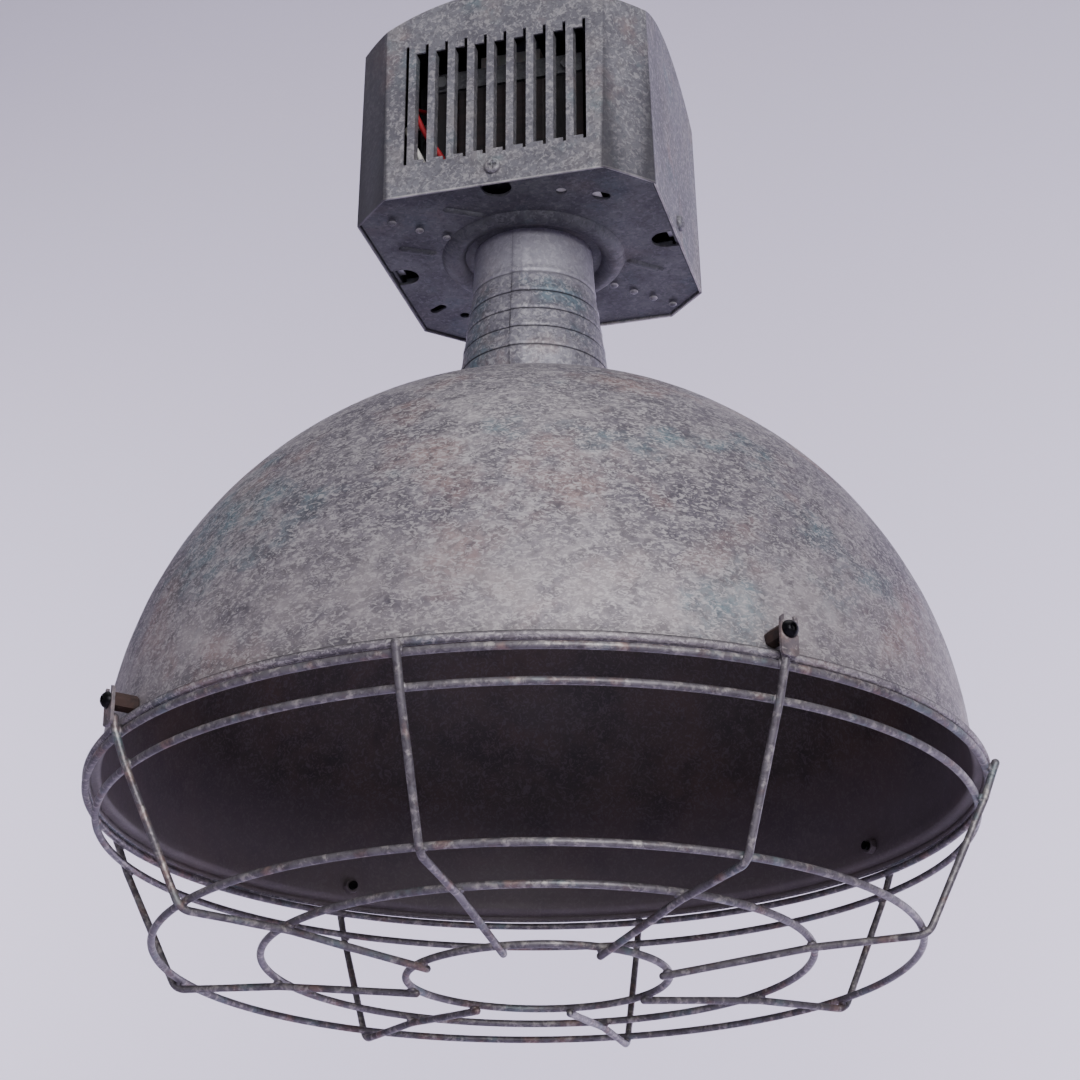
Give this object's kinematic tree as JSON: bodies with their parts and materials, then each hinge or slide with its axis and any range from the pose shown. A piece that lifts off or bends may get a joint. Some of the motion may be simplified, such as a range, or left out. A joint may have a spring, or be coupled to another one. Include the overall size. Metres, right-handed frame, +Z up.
{
  "type": "pendant lamp",
  "caption": "Industrial pendant lamp: domed metal shade with a wire guard, a ribbed neck and a louvred gear box, hung from an eye.",
  "frame": {"origin": "centre of the hanging hole in the eye plate", "axes": "+Z up along the lamp's axis; -Y is the louvred face of the gear box; the hanging hole runs along Y"},
  "size_m": [0.4898, 0.4898, 0.6461],
  "materials": {
    "aged_sheet": "matt mottled grey patina",
    "aged_wire": "matt grey patina, worn bright along the tops",
    "zinc_steel": "dull zinc plate",
    "black_steel": "black oxide",
    "rusty_steel": "rusted",
    "galvanised_steel": "galvanised",
    "gland_brass": "nickelled brass, worn",
    "seal_rubber": "soft black rubber",
    "laminated_iron": "varnished laminations",
    "coil_varnish": "dark varnished winding",
    "capacitor_can": "drawn can",
    "igniter_plastic": "moulded black",
    "terminal_nylon": "white nylon",
    "contact_brass": "bare brass",
    "red_insulation": "red sleeve",
    "white_insulation": "white sleeve",
    "porcelain": "unglazed white",
    "clear_glass": "clear",
    "quartz": "frosted arc tube",
    "nickel_wire": "bright wire"
  },
  "bodies": {
    "fixture": {"ballast_bolts": "zinc_steel", "ballast_clamps": "galvanised_steel", "ballast_coil": "coil_varnish", "ballast_core": "laminated_iron", "ballast_fixings": "zinc_steel", "ballast_spacers": "zinc_steel", "base_plate": "aged_sheet", "cable_gland": "gland_brass", "capacitor": "capacitor_can", "capacitor_clip": "galvanised_steel", "carrier_strap": "galvanised_steel", "cover_nuts": "zinc_steel", "cover_screws": "zinc_steel", "gear_cover": "aged_sheet", "gland_cap": "gland_brass", "gland_lock_nut": "gland_brass", "gland_seal": "seal_rubber", "guard_nuts": "rusty_steel", "guard_screws": "black_steel", "guard_spacers": "rusty_steel", "hanger_eye": "aged_sheet", "hanger_nuts": "zinc_steel", "hanger_stem": "zinc_steel", "hanger_washer": "zinc_steel", "igniter": "igniter_plastic", "lampholder_body": "porcelain", "lampholder_bracket": "galvanised_steel", "lampholder_contact": "contact_brass", "lampholder_screws": "zinc_steel", "lampholder_shell": "contact_brass", "neck_ring": "galvanised_steel", "neck_sleeve": "aged_sheet", "plate_rivets": "zinc_steel", "reflector_bolts": "zinc_steel", "reflector_dome": "aged_sheet", "stem_spacer": "zinc_steel", "terminal_block": "terminal_nylon", "terminal_screws": "contact_brass", "wire_red": "red_insulation", "wire_white": "white_insulation"},
    "lamp_button": {"lamp_contact": "contact_brass"},
    "lamp": {"lamp_glass": "clear_glass", "lamp_cap": "contact_brass", "arc_tube": "quartz", "arc_tube_frame": "nickel_wire"},
    "guard": {"guard_ring_top": "aged_wire", "guard_ring_upper": "aged_wire", "guard_ring_shoulder": "aged_wire", "guard_ring_middle": "aged_wire", "guard_ring_center": "aged_wire", "guard_rib_1": "aged_wire", "guard_rib_2": "aged_wire", "guard_rib_3": "aged_wire", "guard_rib_4": "aged_wire", "guard_rib_5": "aged_wire", "guard_rib_6": "aged_wire", "guard_rib_7": "aged_wire", "guard_rib_8": "aged_wire", "guard_tabs": "aged_wire"}
  },
  "joints": [
    {"name": "guard_drop", "type": "slide", "parent": "fixture", "child": "guard", "axis": [0, 0, -1], "range_m": [0, 0.13]},
    {"name": "lamp_feed", "type": "slide", "parent": "fixture", "child": "lamp_button", "axis": [0, 0, -1], "range_m": [0, 0.0192]},
    {"name": "lamp_turn", "type": "hinge", "parent": "lamp_button", "child": "lamp", "pos_m": [0, 0, -0.228], "axis": [0, 0, -1], "range_deg": [0, 1080]}
  ],
  "couplings": [
    {"joint": "lamp_feed", "follows": "lamp_turn", "m_per_rad": 0.0010106}
  ]
}
